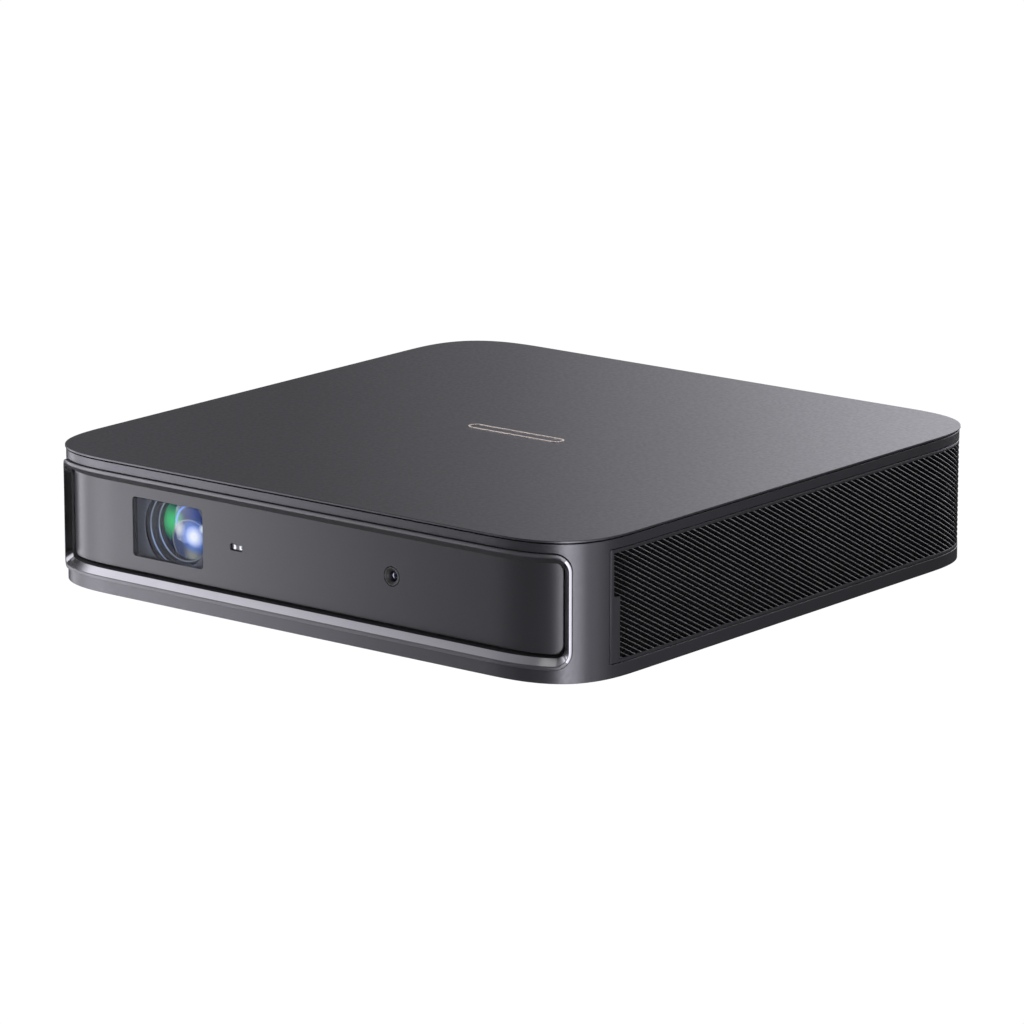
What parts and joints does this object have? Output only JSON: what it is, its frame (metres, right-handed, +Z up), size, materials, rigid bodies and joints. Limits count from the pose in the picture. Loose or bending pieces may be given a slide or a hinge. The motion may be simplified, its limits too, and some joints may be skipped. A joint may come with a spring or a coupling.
{
  "type": "home projector",
  "caption": "Slim square home projector with a lens window in a recessed gloss front panel, wrapped perforated side vents, rear ports, and a light engine with blowers inside.",
  "frame": {"origin": "on the surface the feet stand on, under the middle of the body", "axes": "+Z up, the lens looks along -Y, +X is the right side seen from the front"},
  "size_m": [0.195, 0.1955, 0.0476],
  "materials": {
    "shell_graphite": "satin metallic paint",
    "base_black": "fine moulded grain",
    "grille_black": "satin moulded mesh",
    "trim_metal": "polished metallised plastic",
    "panel_gloss": "polished, dark, infrared-clear",
    "window_glass": "coated, polished",
    "lens_glass": "multi-coated",
    "rubber_black": "matte",
    "insert_brass": "turned",
    "badge_gold": "printed metallic ink",
    "inner_black": "moulded",
    "button_graphite": "satin",
    "light_white": "translucent",
    "port_steel": "plated",
    "board_green": "solder mask",
    "chip_black": "moulded",
    "alloy": "machined",
    "copper": "bare copper",
    "pinion_brass": "cut",
    "cone_black": "pressed paper with rubber surround",
    "screw_steel": "zinc plated",
    "ribbon_amber": "flexible circuit",
    "lead_red": "insulated wire"
  },
  "bodies": {
    "case": {"top_cover": "shell_graphite", "top_badge": "badge_gold", "side_frame": "shell_graphite", "base_cover": "base_black", "rubber_feet": "rubber_black", "tripod_insert": "insert_brass", "vent_grille_left": "grille_black", "vent_grille_right": "grille_black", "rear_panel": "base_black", "front_trim": "trim_metal", "front_panel": "panel_gloss", "lens_window": "window_glass", "range_sensor": "chip_black", "camera_bezel": "inner_black", "camera_lens": "lens_glass", "sensor_board": "board_green", "button_switch": "chip_black", "status_light": "light_white", "video_port": "port_steel", "data_port": "port_steel", "audio_jack": "inner_black", "dc_inlet": "inner_black", "main_board": "board_green", "processor": "chip_black", "heat_spreader": "alloy", "wireless_module": "port_steel", "blower_left": "inner_black", "blower_right": "inner_black", "laser_heatsink": "alloy", "heat_pipes": "copper", "cold_plate": "copper", "laser_module": "alloy", "wheel_housing": "inner_black", "wheel_motor": "port_steel", "light_tunnel": "inner_black", "engine_housing": "alloy", "engine_lid": "alloy", "prism_pair": "lens_glass", "imaging_chip": "chip_black", "imager_board": "board_green", "imager_heatsink": "alloy", "lens_barrel": "inner_black", "front_lens": "lens_glass", "focus_motor": "port_steel", "speaker_box_left": "inner_black", "speaker_box_right": "inner_black", "case_screws": "screw_steel", "flex_ribbon": "ribbon_amber", "speaker_leads": "lead_red", "fan_leads": "lead_red"},
    "button": {"power_button": "button_graphite"},
    "left_rotor": {"rotor_left": "inner_black"},
    "right_rotor": {"rotor_right": "inner_black"},
    "wheel": {"phosphor_wheel": "alloy"},
    "focus_ring": {"focus_ring": "alloy"},
    "focus_cell": {"lens_cell": "inner_black", "rear_lens": "lens_glass"},
    "pinion": {"focus_pinion": "pinion_brass"},
    "left_cone": {"speaker_cone_left": "cone_black"},
    "right_cone": {"speaker_cone_right": "cone_black"}
  },
  "joints": [
    {"name": "button_press", "type": "slide", "parent": "case", "child": "button", "axis": [0, -1, 0], "range_m": [0, 0.0008], "stiffness_N_per_m": 1500},
    {"name": "left_rotor_spin", "type": "hinge", "parent": "case", "child": "left_rotor", "pos_m": [-0.051, 0.033, 0.032], "axis": [0, 0, 1], "continuous": true},
    {"name": "right_rotor_spin", "type": "hinge", "parent": "case", "child": "right_rotor", "pos_m": [0.051, 0.033, 0.032], "axis": [0, 0, 1], "continuous": true},
    {"name": "wheel_spin", "type": "hinge", "parent": "case", "child": "wheel", "pos_m": [0.003, -0.018, 0.0286], "axis": [1, 0, 0], "continuous": true},
    {"name": "focus_ring_turn", "type": "hinge", "parent": "case", "child": "focus_ring", "pos_m": [-0.0494, -0.06, 0.0286], "axis": [0, 1, 0], "range_deg": [-35, 35]},
    {"name": "pinion_spin", "type": "hinge", "parent": "case", "child": "pinion", "pos_m": [-0.03632, -0.054, 0.01552], "axis": [0, 1, 0], "range_deg": [-182, 182]},
    {"name": "focus_cell_slide", "type": "slide", "parent": "case", "child": "focus_cell", "axis": [0, 1, 0], "range_m": [-0.00125, 0.00125]},
    {"name": "left_cone_slide", "type": "slide", "parent": "case", "child": "left_cone", "axis": [-1, 0, 0], "range_m": [-0.0005, 0.0005], "stiffness_N_per_m": 1200},
    {"name": "right_cone_slide", "type": "slide", "parent": "case", "child": "right_cone", "axis": [1, 0, 0], "range_m": [-0.0005, 0.0005], "stiffness_N_per_m": 1200}
  ],
  "couplings": [
    {"joint": "pinion_spin", "follows": "focus_ring_turn", "ratio": -5.1667},
    {"joint": "focus_cell_slide", "follows": "focus_ring_turn", "m_per_rad": 0.0019644}
  ]
}
